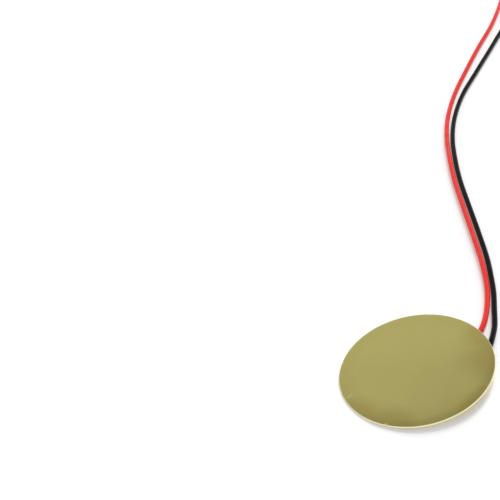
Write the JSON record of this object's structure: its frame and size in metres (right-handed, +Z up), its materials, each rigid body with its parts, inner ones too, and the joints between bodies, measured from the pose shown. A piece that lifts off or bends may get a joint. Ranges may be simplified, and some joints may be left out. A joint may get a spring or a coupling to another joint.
{
  "type": "piezo disc",
  "caption": "Thin round brass plate with a silvered piezo ceramic on its underside and two soldered leads, red and black.",
  "frame": {"origin": "point of the surface the disc lies on, under the middle of the brass plate", "axes": "+Z up from the surface, square to it; +X level, the way the leads leave the disc, whose edge is raised 3 degrees on that side; +Y level, the side the leads sweep to"},
  "size_m": [0.1481, 0.1859, 0.0022],
  "materials": {
    "brass": "bright rolled sheet, lightly scuffed",
    "bond": "clear amber epoxy, thin",
    "silver": "fired silver paste, satin",
    "ceramic": "fired ceramic, unglazed",
    "solder": "bright solder",
    "tinned_strands": "tinned copper",
    "red_insulation": "soft vinyl, semi-gloss",
    "black_insulation": "soft vinyl, semi-gloss"
  },
  "bodies": {
    "root": {"brass_plate": "brass", "bond_film": "bond", "rear_silver": "silver", "ceramic_disc": "ceramic", "front_silver": "silver", "red_solder": "solder", "black_solder": "solder", "red_joint_strands": "tinned_strands", "black_joint_strands": "tinned_strands", "red_lead": "red_insulation", "black_lead": "black_insulation", "red_tip_strands": "tinned_strands", "black_tip_strands": "tinned_strands"}
  },
  "joints": []
}
